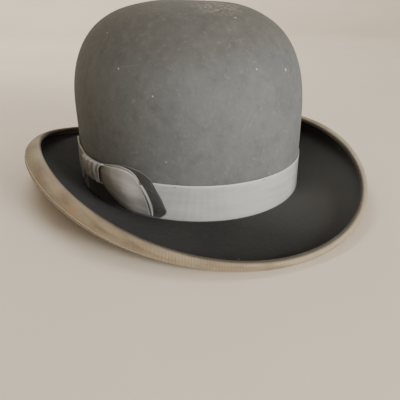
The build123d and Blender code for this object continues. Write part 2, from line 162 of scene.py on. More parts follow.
def brim_points(angle, back, above):
    """Points back from the felt's edge, along its middle, and above that middle."""
    distance, height, radius, end = curl(angle)
    slope, straight, curl_length = brim_lengths(angle)
    turn = end - np.minimum(back, curl_length) / radius
    along = straight - (back - curl_length)
    in_curl = back <= curl_length
    out = np.where(
        in_curl,
        distance + (radius - above) * np.cos(turn),
        along * np.cos(slope) - above * np.sin(slope),
    )
    up = np.where(
        in_curl,
        height + (radius - above) * np.sin(turn),
        along * np.sin(slope) + above * np.cos(slope),
    )
    return placed(angle, out, up)


def binding_width(angle):
    return BINDING_OUTSIDE[0] + BINDING_OUTSIDE[1] * np.cos(2 * angle)


def placed(angle, out, up):
    """Section points (distance out from the break, height above it) in space."""
    root, tip = brim_root(angle), brim_tip(angle)
    outwards = (tip - root) / np.linalg.norm(tip - root, axis=-1, keepdims=True)
    flat = root + outwards * out[..., None]
    return np.concatenate([flat, (BREAK_Z + up)[..., None]], -1)


def edge_fold(angle, reach, turn):
    """Points round the felt's edge: turn runs from 0 (inside the curl) to pi (outside)."""
    distance, height, radius, end = curl(angle)
    inwards, round_off = reach * np.cos(turn), reach * np.sin(turn)
    out = distance + radius * np.cos(end) - (inwards * np.cos(end) + round_off * np.sin(end))
    up = height + radius * np.sin(end) - (inwards * np.sin(end) - round_off * np.cos(end))
    return placed(angle, out, up)


def aged(points):
    """The small unevenness of an old hat. Most pieces go through it, so they stay together."""
    x, y, z = points[..., 0], points[..., 1], points[..., 2]
    angle = np.arctan2(y / HALF_LENGTH, x / HALF_WIDTH)
    reach = np.hypot(x / HALF_WIDTH, y / HALF_LENGTH)
    brim = smooth_step(reach, 1.02, 1.5)
    wave = 0.5 * np.sin(2 * angle + 0.8) + 0.35 * np.sin(3 * angle + 2.1) + 0.25 * np.sin(5 * angle + 0.3)
    high = smooth_step(z, BREAK_Z + 30 * MM, BREAK_Z + 80 * MM) * smooth_step(reach, 0.1, 0.6)
    swell = 0.0035 * np.sin(2 * angle + 1.1) + 0.0025 * np.sin(3 * angle + 30 * z)
    swell = swell + 0.0015 * np.sin(7 * angle - 55 * z)
    sink = 0.5 * MM * np.sin(9 * x / HALF_WIDTH) * np.cos(7 * y / HALF_LENGTH)
    top = smooth_step(z, BREAK_Z + 100 * MM, BREAK_Z + 125 * MM)
    moved = points.copy()
    moved[..., 0] = x * (1 + swell * high)
    moved[..., 1] = y * (1 + swell * high)
    moved[..., 2] = z + 0.7 * MM * wave * brim + sink * top
    return moved


# --- Making meshes ---


def new_object(name, vertices, faces, material, uv=None, values=None, smooth=True):
    """A mesh object from plain arrays, with one UV pair and one named value per vertex."""
    mesh = bpy.data.meshes.new(name)
    mesh.from_pydata([tuple(v) for v in vertices], [], faces)
    loops = np.zeros(len(mesh.loops), int)
    mesh.loops.foreach_get("vertex_index", loops)
    if uv is not None:
        layer = mesh.uv_layers.new(name="cloth")
        layer.data.foreach_set("uv", np.asarray(uv, float)[loops].ravel())
    for key, value in (values or {}).items():
        attribute = mesh.attributes.new(key, "FLOAT", "POINT")
        attribute.data.foreach_set("value", np.asarray(value, np.float32))
    mesh.polygons.foreach_set("use_smooth", [smooth] * len(mesh.polygons))
    mesh.materials.append(material)
    made = bpy.data.objects.new(name, mesh)
    bpy.context.scene.collection.objects.link(made)
    return made


def tidy(piece, distance=0.002 * MM):
    """Joins points that lie together and turns every face outwards."""
    work = bmesh.new()
    work.from_mesh(piece.data)
    bmesh.ops.remove_doubles(work, verts=work.verts, dist=distance)
    bmesh.ops.recalc_face_normals(work, faces=work.faces)
    work.to_mesh(piece.data)
    work.free()
    return piece


def grid_faces(rows, columns, closed_rows, closed_columns=False, first=0):
    """Quads of a grid of points, stored row by row."""
    faces = []
    for i in range(rows if closed_rows else rows - 1):
        for j in range(columns if closed_columns else columns - 1):
            a = first + i * columns + j
            b = first + ((i + 1) % rows) * columns + j
            c = first + ((i + 1) % rows) * columns + (j + 1) % columns
            d = first + i * columns + (j + 1) % columns
            faces.append((a, b, c, d))
    return faces


def surface_normals(points, closed):
    """Unit normals of a grid of points."""
    if closed:
        along = np.roll(points, -1, 0) - np.roll(points, 1, 0)
    else:
        along = np.gradient(points, axis=0)
    across = np.gradient(points, axis=1)
    normal = np.cross(along, across)
    return normal / np.maximum(np.linalg.norm(normal, axis=-1, keepdims=True), 1e-12)


def lengths_along(points, axis):
    step = np.linalg.norm(np.diff(points, axis=axis), axis=-1).mean(1 - axis)
    return np.concatenate([[0], np.cumsum(step)])


def cloth(name, middle, material, thickness=RIBBON, closed=False, selvage=0.0, round_edge=True):
    """A closed skin of even thickness round a grid of points: rows run along, columns across.
    selvage thickens both long edges by that share. The UV map is in metres, along and across."""
    rows, columns = middle.shape[:2]
    normal = surface_normals(middle, closed)
    across = lengths_along(middle, 1)
    along = lengths_along(middle, 0)
    near_edge = np.minimum(across, across[-1] - across)
    half = thickness / 2 * (1 + selvage * (1 - smooth_step(near_edge, 0.2 * MM, 1.3 * MM)))
    if round_edge:
        half = half * (0.45 + 0.55 * smooth_step(near_edge, -0.1 * MM, 0.3 * MM))
    front = middle + normal * half[None, :, None]
    back = middle - normal * half[None, :, None]
    ring = np.concatenate([front, back[:, ::-1]], 1)
    faces = grid_faces(rows, 2 * columns, closed, closed_columns=True)
    if not closed:
        faces.append(tuple(range(2 * columns)))
        faces.append(tuple(range((rows - 1) * 2 * columns, rows * 2 * columns))[::-1])
    across_ring = np.concatenate([across, across[::-1]])
    uv = np.stack(np.meshgrid(along, across_ring, indexing="ij"), -1).reshape(-1, 2)
    edge = np.tile(np.concatenate([near_edge, near_edge[::-1]]), rows)
    return tidy(new_object(name, ring.reshape(-1, 3), faces, material, uv, {"edge": edge}))


def rods(name, ends, radius, material, sides=6, rings=5):
    """Short round-ended rods between pairs of points, as one mesh: threads that show."""
    vertices, faces = [], []
    for start, end in ends:
        start, end = Vector(start), Vector(end)
        axis = (end - start).normalized()
        side = axis.orthogonal().normalized()
        other = axis.cross(side)
        first = len(vertices)
        for i in range(rings):
            t = i / (rings - 1)
            swell = radius * math.sqrt(max(1 - (2 * t - 1) ** 4, 0.06))
            centre = start.lerp(end, t)
            for j in range(sides):
                turn = 2 * PI * j / sides
                vertices.append(centre + side * swell * math.cos(turn) + other * swell * math.sin(turn))
        faces += grid_faces(rings, sides, False, closed_columns=True, first=first)
        faces.append(tuple(range(first, first + sides)))
        faces.append(tuple(range(first + (rings - 1) * sides, first + rings * sides))[::-1])
    return tidy(new_object(name, vertices, faces, material), 0)


# --- Materials ---


class Painter:
    """Builds one node material: a few helpers that keep each material's own recipe short."""

    def __init__(self, name, roughness, sheen=0.0, sheen_roughness=0.5, specular=0.3):
        self.material = bpy.data.materials.new(name)
        self.material.use_nodes = True
        self.tree = self.material.node_tree
        self.shader = self.tree.nodes["Principled BSDF"]
        self.shader.inputs["Roughness"].default_value = roughness
        self.shader.inputs["Specular IOR Level"].default_value = specular
        self.shader.inputs["Sheen Weight"].default_value = sheen
        self.shader.inputs["Sheen Roughness"].default_value = sheen_roughness
        self.place = self.tree.nodes.new("ShaderNodeTexCoord").outputs["Object"]

    def link(self, value, socket):
        if isinstance(value, bpy.types.NodeSocket):
            self.tree.links.new(value, socket)
        elif isinstance(value, (tuple, list)) and len(value) == 3 and socket.type == "RGBA":
            socket.default_value = (*value, 1)
        else:
            socket.default_value = value

    def vectors(self, operation, a, b=(0, 0, 0), output="Vector"):
        node = self.tree.nodes.new("ShaderNodeVectorMath")
        node.operation = operation
        self.link(a, node.inputs[0])
        self.link(b, node.inputs[1])
        return node.outputs[output]

    def stretch(self, source, scale):
        return self.vectors("MULTIPLY", source, scale)

    def cloth_map(self):
        node = self.tree.nodes.new("ShaderNodeUVMap")
        node.uv_map = "cloth"
        return node.outputs[0]

    def value(self, name):
        node = self.tree.nodes.new("ShaderNodeAttribute")
        node.attribute_name = name
        return node.outputs["Fac"]

    def split(self, source):
        node = self.tree.nodes.new("ShaderNodeSeparateXYZ")
        self.link(source, node.inputs[0])
        return node.outputs

    def noise(self, scale, detail=3.0, source=None, roughness=0.55):
        node = self.tree.nodes.new("ShaderNodeTexNoise")
        self.link(source or self.place, node.inputs["Vector"])
        node.inputs["Scale"].default_value = scale
        node.inputs["Detail"].default_value = detail
        node.inputs["Roughness"].default_value = roughness
        return node.outputs["Fac"]

    def cells(self, scale, feature="F1", source=None):
        node = self.tree.nodes.new("ShaderNodeTexVoronoi")
        node.feature = feature
        self.link(source or self.place, node.inputs["Vector"])
        node.inputs["Scale"].default_value = scale
        return node.outputs["Distance"]

    def math(self, operation, a, b=0.0):
        node = self.tree.nodes.new("ShaderNodeMath")
        node.operation = operation
        self.link(a, node.inputs[0])
        self.link(b, node.inputs[1])
        return node.outputs[0]

    def times(self, a, b):
        return self.math("MULTIPLY", a, b)

    def waves(self, source, pitch):
        return self.math("SINE", self.times(source, 2 * PI / pitch))

    def fit(self, source, low, high, to_low=0.0, to_high=1.0):
        node = self.tree.nodes.new("ShaderNodeMapRange")
        node.interpolation_type = "SMOOTHSTEP"
        self.link(source, node.inputs[0])
        for socket, number in zip(node.inputs[1:5], (low, high, to_low, to_high)):
            self.link(number, socket)
        return node.outputs[0]

    def mix(self, share, a, b):
        node = self.tree.nodes.new("ShaderNodeMix")
        node.data_type = "RGBA"
        self.link(share, node.inputs["Factor"])
        self.link(a, node.inputs[6])
        self.link(b, node.inputs[7])
        return node.outputs[2]

    def near(self, centre, start, end):
        """1 at a place on the hat, falling to 0 between the two distances from it."""
        return self.fit(self.vectors("DISTANCE", self.place, centre, "Value"), start, end, 1.0, 0.0)

    def near_line(self, start, end, width):
        """1 on the straight line between two places, falling to 0 at its width."""
        start, along = Vector(start), Vector(end) - Vector(start)
        offset = self.vectors("SUBTRACT", self.place, start)
        across = self.vectors("CROSS_PRODUCT", offset, along.normalized())
        reach = self.vectors("LENGTH", across, output="Value")
        beside = self.fit(reach, 0.2 * width, width, 1.0, 0.0)
        middle = tuple(start + along / 2)
        return self.times(beside, self.near(middle, 0.4 * along.length, 0.55 * along.length))

    def bump(self, height, distance, strength=1.0, under=None):
        node = self.tree.nodes.new("ShaderNodeBump")
        node.inputs["Strength"].default_value = strength
        node.inputs["Distance"].default_value = distance
        self.link(height, node.inputs["Height"])
        if under is not None:
            self.link(under, node.inputs["Normal"])
        return node.outputs["Normal"]

    def finish(self, colour, normal=None, roughness=None):
        self.link(colour, self.shader.inputs["Base Color"])
        if normal is not None:
            self.link(normal, self.shader.inputs["Normal"])
        if roughness is not None:
            self.link(roughness, self.shader.inputs["Roughness"])
        return self.material


def on_crown(angle_deg, height):
    """A place on the outside of the crown, for marks of wear."""
    return tuple(crown_points(math.radians(angle_deg), 0.0, height))


# Marks of wear on the crown, at (angle in degrees, height above the break in mm) places. Lint
# also has its size in mm.
LINT = (
    (35, 96, 0.9), (99, 124, 0.9), (116, 93, 1.3), (97, 96, 0.8),
    (52, 82, 0.7), (19, 115, 0.7), (84, 130, 0.8),
)
SCRATCHES = (((93, 74), (88, 59)), ((95, 71), (91, 62)), ((36, 97), (45, 99)))


def felt_material():
    paint = Painter("felt", roughness=0.95, sheen=0.12, sheen_roughness=0.5, specular=0.12)
    fade = paint.value("fade")
    paint.link(paint.fit(fade, 0.12, 0.6, 0.03, 0.045), paint.shader.inputs["Sheen Weight"])
    paint.link(paint.fit(fade, 0.12, 0.6, 0.05, 0.12), paint.shader.inputs["Specular IOR Level"])
    clouds = paint.noise(22, 4)
    mottle = paint.noise(150, 5)
    dust = paint.noise(330, 3)
    fibres = paint.noise(1400, 2)
    height = paint.split(paint.place)[2]
    brim = paint.mix(paint.fit(clouds, 0.35, 0.7), (0.0165, 0.0165, 0.0160), (0.0215, 0.0215, 0.0205))
    crown = paint.mix(paint.fit(clouds, 0.35, 0.7), (0.106, 0.111, 0.114), (0.126, 0.132, 0.133))
    colour = paint.mix(fade, brim, crown)
    high = paint.fit(height, 0.088, 0.128)
    top = paint.times(high, paint.fit(paint.noise(13, 2), 0.2, 0.55, 0.5, 1.0))
    colour = paint.mix(paint.times(top, paint.times(fade, 0.7)), colour, (0.080, 0.073, 0.057))
    pale = paint.times(paint.fit(mottle, 0.5, 0.72, 0.0, 0.22), fade)
    colour = paint.mix(pale, colour, (0.165, 0.165, 0.155))
    dark = paint.times(paint.fit(mottle, 0.5, 0.28, 0.0, 0.22), fade)
    colour = paint.mix(dark, colour, (0.05, 0.05, 0.046))
    powder = paint.times(paint.fit(dust, 0.56, 0.75, 0.0, 0.3), fade)
    colour = paint.mix(powder, colour, (0.20, 0.20, 0.19))
    # Painted light: a paler pool on the brim, behind the wearer's right side, where light falls on it.
    lit_brim_patch = paint.near((-0.085, 0.095, BREAK_Z + 0.004), 0.01, 0.115)
    lit_brim_patch = paint.times(lit_brim_patch, paint.fit(fade, 0.15, 0.5, 0.8, 0.0))
    colour = paint.mix(lit_brim_patch, colour, (0.105, 0.105, 0.102))
    worn = paint.near(on_crown(96, 130.5 * MM), 0.004, 0.024)
    rubbed = paint.times(worn, paint.fit(paint.noise(420, 5), 0.40, 0.70))
    colour = paint.mix(paint.times(rubbed, 0.65), colour, (0.36, 0.30, 0.27))
    specks = paint.fit(paint.cells(120), 0.05, 0.09, 1.0, 0.0)
    rare = paint.fit(paint.noise(37, 2), 0.6, 0.68)
    colour = paint.mix(paint.times(paint.times(specks, rare), 0.35), colour, (0.45, 0.43, 0.39))
    for degrees, rise, size in LINT:
        spot = paint.near(on_crown(degrees, rise * MM), 0.3 * size * MM, size * MM)
        colour = paint.mix(paint.times(spot, 0.6), colour, (0.60, 0.58, 0.53))
    for start, end in SCRATCHES:
        line = paint.near_line(on_crown(start[0], start[1] * MM), on_crown(end[0], end[1] * MM), 0.45 * MM)
        colour = paint.mix(paint.times(line, 0.18), colour, (0.30, 0.30, 0.28))
    hairs = paint.times(paint.fit(fibres, 0.55, 0.8, 0.0, 0.2), paint.fit(fade, 0.0, 1.0, 0.25, 1.0))
    colour = paint.mix(hairs, colour, (0.22, 0.22, 0.21))
    coarse = paint.bump(paint.math("ADD", dust, mottle), 0.0005, 0.4)
    normal = paint.bump(fibres, 0.00018, 0.6, coarse)
    return paint.finish(colour, normal)


def grosgrain_material(name, dark, light, selvage, sheen=0.2, rough=0.62, painted_shade=()):
    """A ribbed ribbon: ribs run across it, its edges are woven closer and wear paler. Its last
    argument lists places darkened with painted shade, as (place, reach, share)."""
    paint = Painter(name, roughness=rough, sheen=sheen, sheen_roughness=0.35, specular=0.35)
    place = paint.cloth_map()
    along = paint.split(place)[0]
    ribs = paint.waves(along, 0.75 * MM)
    edge = paint.fit(paint.value("edge"), 0.5 * MM, 1.1 * MM, 1.0, 0.0)
    streaks = paint.noise(60, 3, paint.stretch(place, (0.35, 3.0, 1)))
    patches = paint.noise(45, 4)
    weave = paint.noise(2600, 1)
    colour = paint.mix(paint.fit(streaks, 0.3, 0.7), dark, light)
    colour = paint.mix(paint.fit(patches, 0.5, 0.75, 0.0, 0.6), colour, light)
    # Painted shade: each listed place darkens towards a fifth of the ribbon's dark colour.
    for centre, reach, share in painted_shade:
        shade_spot = paint.times(paint.near(centre, 0.1 * reach, reach), share)
        colour = paint.mix(shade_spot, colour, tuple(0.2 * c for c in dark))
    colour = paint.mix(paint.fit(ribs, -1, 1, 0.35, 0.0), colour, tuple(0.45 * c for c in dark))
    colour = paint.mix(paint.times(edge, 0.5), colour, selvage)
    ribbed = paint.times(ribs, paint.math("SUBTRACT", 1.0, paint.times(edge, 0.7)))
    coarse = paint.bump(ribbed, 0.00012, 0.7)
    normal = paint.bump(weave, 0.00006, 0.5, coarse)
    return paint.finish(colour, normal)


def binding_material():
    """The brim's binding: a taupe grosgrain, faded unevenly, pale along its sewn edges."""
    paint = Painter("binding_ribbon", roughness=0.7, sheen=0.15, sheen_roughness=0.4, specular=0.3)
    place = paint.cloth_map()
    along, across = paint.split(place)[:2]
    ribs = paint.waves(along, 0.8 * MM)
    from_edge = paint.value("edge")
    selvage = paint.fit(from_edge, 0.7 * MM, 1.1 * MM, 1.0, 0.0)
    # groove is a dark line of painted shade in the stitched groove.
    groove = paint.fit(from_edge, 1.7 * MM, 2.2 * MM, 1.0, 0.0)
    groove = paint.times(paint.fit(from_edge, 0.8 * MM, 1.3 * MM), groove)
    ridge = paint.fit(from_edge, 2.9 * MM, 4.2 * MM, 1.0, 0.0)
    ridge = paint.times(paint.fit(from_edge, 1.8 * MM, 2.3 * MM), ridge)
    streaks = paint.noise(70, 4, paint.stretch(place, (0.5, 2.5, 1)))
    patches = paint.noise(38, 4)
    stains = paint.noise(75, 3)
    colour = paint.mix(paint.fit(streaks, 0.3, 0.7), (0.20, 0.152, 0.098), (0.35, 0.272, 0.180))
    colour = paint.mix(paint.fit(patches, 0.42, 0.7, 0.0, 0.75), colour, (0.33, 0.31, 0.20))
    colour = paint.mix(paint.fit(stains, 0.58, 0.75, 0.0, 0.6), colour, (0.36, 0.22, 0.12))
    colour = paint.mix(paint.fit(ribs, -1, 1, 0.3, 0.0), colour, (0.09, 0.07, 0.05))
    colour = paint.mix(paint.times(ridge, 0.8), colour, (0.80, 0.72, 0.57))
    colour = paint.mix(paint.times(selvage, 0.7), colour, (0.72, 0.64, 0.51))
    colour = paint.mix(paint.times(groove, 0.8), colour, (0.07, 0.055, 0.04))
    # Painted shade: from 12 to 13.8 mm across the binding from its outer edge, towards and over the inside
    # of the curl, it turns dark.
    curl_inside_shade = paint.fit(across, 12.0 * MM, 13.8 * MM, 0.0, 0.85)
    colour = paint.mix(curl_inside_shade, colour, (0.028, 0.025, 0.021))
    coarse = paint.bump(ribs, 0.00014, 0.7)
    return paint.finish(colour, paint.bump(paint.noise(2600, 1), 0.00006, 0.5, coarse))


def leather_material():
    paint = Painter("sweatband_leather", roughness=0.42, specular=0.5)
    height = paint.split(paint.place)[2]
    worn = paint.fit(height, leather_low.z + 0.004, leather_low.z + 0.03, 1.0, 0.0)
    stains = paint.noise(38, 5)
    grain = paint.cells(900, "DISTANCE_TO_EDGE")
    creases = paint.noise(160, 5, paint.stretch(paint.place, (1, 1, 3)))
    colour = paint.mix(paint.fit(stains, 0.35, 0.7), (0.165, 0.078, 0.034), (0.30, 0.155, 0.07))
    colour = paint.mix(paint.times(worn, 0.6), colour, (0.075, 0.036, 0.018))
    colour = paint.mix(paint.fit(grain, 0.0, 0.12, 0.3, 0.0), colour, (0.05, 0.025, 0.012))
    coarse = paint.bump(creases, 0.0005, 0.4)
    normal = paint.bump(paint.fit(grain, 0.0, 0.25), 0.00012, 0.6, coarse)
    return paint.finish(colour, normal, paint.fit(stains, 0.3, 0.7, 0.36, 0.55))


def satin_material(name, dark, light):
    paint = Painter(name, roughness=0.34, sheen=0.15, specular=0.55)
    paint.shader.inputs["Anisotropic"].default_value = 0.5
    place = paint.cloth_map()
    threads = paint.waves(paint.split(place)[1], 0.22 * MM)
    age = paint.noise(26, 5)
    spots = paint.noise(110, 3)
    colour = paint.mix(paint.fit(age, 0.35, 0.7), dark, light)
    colour = paint.mix(paint.fit(spots, 0.66, 0.8, 0.0, 0.5), colour, (0.32, 0.22, 0.11))
    coarse = paint.bump(paint.noise(140, 4, paint.stretch(paint.place, (2, 2, 0.6))), 0.0006, 0.35)
    normal = paint.bump(threads, 0.00002, 0.5, coarse)
    return paint.finish(colour, normal)


def thread_material(name, colour):
    paint = Painter(name, roughness=0.7, sheen=0.2, specular=0.3)
    twist = paint.noise(2400, 2)
    shade = paint.mix(paint.fit(twist, 0.35, 0.65), tuple(0.6 * c for c in colour), colour)
    return paint.finish(shade, paint.bump(twist, 0.00008, 0.6))


def woven_material(name, dark, light, pitch=0.5 * MM, rough=0.8):
    """A plain cotton weave, for tapes and oilcloth."""
    paint = Painter(name, roughness=rough, sheen=0.1, specular=0.25)
    place = paint.split(paint.cloth_map())
    weave = paint.times(paint.waves(place[0], pitch), paint.waves(place[1], pitch))
    colour = paint.mix(paint.fit(paint.noise(70, 4), 0.35, 0.7), dark, light)
    colour = paint.mix(paint.fit(weave, -1, 1, 0.25, 0.0), colour, tuple(0.5 * c for c in dark))
    return paint.finish(colour, paint.bump(weave, 0.00008, 0.7))


def paper_material():
    paint = Painter("ticket_paper", roughness=0.85, specular=0.2)
    fibres = paint.noise(900, 4)
    colour = paint.mix(paint.fit(paint.noise(80, 4), 0.35, 0.75), (0.60, 0.54, 0.42), (0.76, 0.71, 0.60))
    return paint.finish(colour, paint.bump(fibres, 0.00005, 0.5))


def cane_material():
    paint = Painter("split_cane", roughness=0.5, specular=0.4)
    grain = paint.noise(500, 3, paint.stretch(paint.place, (1, 1, 8)))
    colour = paint.mix(paint.fit(grain, 0.35, 0.7), (0.42, 0.29, 0.13), (0.62, 0.47, 0.25))
    return paint.finish(colour, paint.bump(grain, 0.0001, 0.6))


FELT_LOOK = felt_material()
BINDING_LOOK = binding_material()
# The band's darkened place at 140 degrees is painted shade.
BAND_LOOK = grosgrain_material(
    "band_ribbon", (0.40, 0.405, 0.395), (0.49, 0.495, 0.485), (0.62, 0.62, 0.60), sheen=0.0, rough=0.5,
    painted_shade=((on_crown(140, 14 * MM), 32 * MM, 0.75),),
)
# The bow's darkened place, low on the rear loop near its fold, is painted shade.
BOW_LOOK = grosgrain_material(
    "bow_ribbon", (0.26, 0.256, 0.242), (0.38, 0.374, 0.352), (0.40, 0.39, 0.37), sheen=0.08, rough=0.55,
    painted_shade=((on_crown(51, 15 * MM), 17 * MM, 0.6),),
)
TAIL_LOOK = grosgrain_material(
    "tail_ribbon", (0.040, 0.041, 0.039), (0.062, 0.063, 0.060), (0.14, 0.14, 0.135)
)
LEATHER_LOOK = leather_material()
SATIN_LOOK = satin_material("lining_satin", (0.46, 0.39, 0.28), (0.64, 0.57, 0.45))
PIPING_LOOK = satin_material("piping_satin", (0.42, 0.33, 0.20), (0.55, 0.46, 0.31))
STITCH_LOOK = thread_material("stitch_thread", (0.42, 0.37, 0.29))
DARK_THREAD_LOOK = thread_material("dark_thread", (0.06, 0.06, 0.06))
OILCLOTH_LOOK = woven_material("oilcloth", (0.055, 0.042, 0.030), (0.09, 0.07, 0.05), rough=0.45)
TAPE_LOOK = woven_material("cotton_tape", (0.38, 0.34, 0.26), (0.52, 0.47, 0.38))
SMALL_BOW_LOOK = grosgrain_material(
    "small_bow_ribbon", (0.02, 0.019, 0.019), (0.035, 0.033, 0.033), (0.05, 0.05, 0.05)
)
PAPER_LOOK = paper_material()
CANE_LOOK = cane_material()


# --- Pieces ---


def finish_piece(piece, slot, *nodes):
    """Every piece rides on the hat's one body and stands for its CAD nodes, which are hidden. slot is not
    used.
    """
    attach(piece, "root")
    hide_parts(*nodes)
    return piece


def bend(start, corner, end, steps):
    """A smooth corner between two rows of points, as a quadratic curve."""
    t = np.linspace(0, 1, steps + 2)[1:-1, None]
    curve = [(1 - s) ** 2 * start + 2 * s * (1 - s) * corner + s * s * end for s in t]
    return np.stack(curve, 1)


def make_felt():
    """Crown and brim in one skin: over the dome, down the wall, out to the brim's edge, back
    under it and up the inside to the dome again."""
    angle = turns()
    outside = crown_points(angle, 0.0, crown_heights(0.0, 2.4 * MM, 10, 34)[::-1])
    inside = crown_points(angle, FELT, crown_heights(FELT, 3.0 * MM, 8, 28))
    _, straight, curl_length = brim_lengths(angle)
    whole = straight + curl_length
    share = np.linspace(1, 0, 46)
    top = brim_points(angle, (whole - 2.2 * MM) * share, FELT / 2)
    under = brim_points(angle, (whole - 2.0 * MM) * share[::-1], -FELT / 2)
    rim = edge_fold(angle, FELT / 2, np.linspace(0, PI, 7)[1:-1])
    corner = crown_points(angle[:, 0], 0.0, 0.9 * MM + 0 * angle[:, 0])
    neck = bend(outside[:, -1], corner, top[:, 0], 5)
    inner_corner = crown_points(angle[:, 0], FELT, -1.0 * MM + 0 * angle[:, 0])
    throat = bend(under[:, -1], inner_corner, inside[:, 0], 6)
    skin = np.concatenate([outside, neck, top, rim, under, throat, inside], 1)
    rows = [outside.shape[1] + 5, top.shape[1] + 5 + under.shape[1], 6 + inside.shape[1]]
    fade = np.concatenate([np.ones(rows[0]), np.full(rows[1], 0.12), np.zeros(rows[2])])
    fade[outside.shape[1]: rows[0]] = np.linspace(1, 0.12, 5)
    count = skin.shape[1]
    faces = grid_faces(AROUND, count, True)
    piece = new_object(
        "felt_hat_body", aged(skin).reshape(-1, 3), faces, FELT_LOOK, values={"fade": np.tile(fade, AROUND)}
    )
    tidy(piece)
    return finish_piece(piece, "felt", "felt_body")


def make_binding():
    """The ribbon folded over the brim's edge. Its stitches draw in a groove near its outer
    edge, and the selvage beyond them stands off a little."""
    angle = turns(2 * AROUND)
    lift = FELT / 2 + BINDING_REST + RIBBON / 2
    wide = binding_width(angle)
    sewn = np.linspace(0, 3.6 * MM, 19)[None, :] + 0 * angle
    plain = 4.2 * MM + (wide - 4.2 * MM) * np.linspace(0, 1, 16)[None, :]
    from_edge = np.concatenate([sewn, plain], 1)
    outer_back = wide - from_edge
    inner_back = np.linspace(0, BINDING_INSIDE, 14)[None, :] + 0 * angle
    pucker = 0.10 * MM * np.sin(angle * 131) + 0.07 * MM * np.sin(angle * 83 + 1)
    groove = 0.32 * MM * np.exp(-(((from_edge - STITCH_FROM_EDGE) / (0.38 * MM)) ** 2))
    swell = 0.30 * MM * np.exp(-(((from_edge - 2.9 * MM) / (0.9 * MM)) ** 2))
    shape = swell - groove + 0.14 * MM
    loose = smooth_step(from_edge, 4.5 * MM, 0.0)
    outer = brim_points(angle, outer_back, -(lift + shape + pucker * loose))
    fold = edge_fold(angle, lift + 0.14 * MM, np.linspace(PI, 0, 9)[1:-1])
    loose = smooth_step(inner_back, 2 * MM, BINDING_INSIDE)
    inner = brim_points(angle, inner_back, lift + 0.14 * MM + 0.6 * pucker * loose)
    middle = aged(np.concatenate([outer, fold, inner], 1))
    piece = cloth("brim_binding_ribbon", middle, BINDING_LOOK, closed=True, selvage=0.25)
    finish_piece(piece, "binding_ribbon", "brim_binding")


def make_binding_stitches(count=330, length=1.9 * MM, radius=0.2 * MM):
    """A machine-sewn row near the binding's outer edge."""
    angles = (np.arange(count) + 0.5) * 2 * PI / count
    lift = -(FELT / 2 + BINDING_REST + RIBBON + 0.2 * radius)
    here, ahead = (
        aged(brim_points(angle, binding_width(angle) - STITCH_FROM_EDGE, lift))[:, 0]
        for angle in (angles[:, None], angles[:, None] + 0.01)
    )
    along = ahead - here
    along /= np.linalg.norm(along, axis=1, keepdims=True)
    ends = list(zip(here - along * length / 2, here + along * length / 2))
    piece = rods("binding_stitch_row", ends, radius, STITCH_LOOK)
    finish_piece(piece, "thread", "binding_stitches")


def make_band():
    """The hat band: a ribbon drawn round the crown, a little slack in places."""
    angle = turns(2 * AROUND)
    height = np.linspace(band_low.z, band_high.z, 18)[None, :] - BREAK_Z
    rise = (height - height[0, 0]) / (height[0, -1] - height[0, 0])
    slack = 0.10 * MM * np.sin(9 * angle + 2) * np.sin(PI * rise)
    sway = 0.25 * MM * np.sin(3 * angle + 0.5)
    outset = RIBBON / 2 + 0.15 * MM + 0.05 * MM * np.sin(23 * angle) + slack
    middle = aged(crown_points(angle, -outset, height + sway))
    piece = cloth("hat_band_ribbon", middle, BAND_LOOK, closed=True, selvage=0.5)
    finish_piece(piece, "band_ribbon", "hat_band")


def tack_row(name, places, radius, length, look):
    """Short threads laid along the hat at (angle in degrees, outset, height) places."""
    ends = []
    for degrees, outset, height in places:
        angle = math.radians(degrees)
        here = aged(crown_points(angle, -outset, height))
        ahead = aged(crown_points(angle + 0.01, -outset, height))
        along = (ahead - here) / np.linalg.norm(ahead - here)
        ends.append((here - along * length / 2, here + along * length / 2))
    return rods(name, ends, radius, look)


def make_band_tacks():
    height = band_high.z - BREAK_Z - 1.2 * MM
    places = [(degrees, RIBBON + 0.35 * MM, height) for degrees in range(60, 301, 40)]
    piece = tack_row("band_tack_threads", places, 0.2 * MM, 2.2 * MM, DARK_THREAD_LOOK)
    finish_piece(piece, "dark_thread", "band_tacks")


# The bow. Its middle is the knot; a loop runs from there to its fold and back underneath.
KNOT_ANGLE = 16.0
WAIST = (19.2, 30.2)         # heights of the gathered ribbon's edges inside the knot, in mm


def smooth_line(value, corners):
    """A smooth curve through (position, height) corners."""
    places, heights = np.array(corners, float).T
    slopes = np.gradient(heights, places)
    below = np.clip(np.searchsorted(places, value, side="right") - 1, 0, len(places) - 2)
    step = places[below + 1] - places[below]
    t = np.clip((value - places[below]) / step, 0, 1)
    rise = t * t * (3 - 2 * t)
    curve = heights[below] * (1 - rise) + heights[below + 1] * rise
    return curve + step * t * (1 - t) * ((1 - t) * slopes[below] - t * slopes[below + 1])


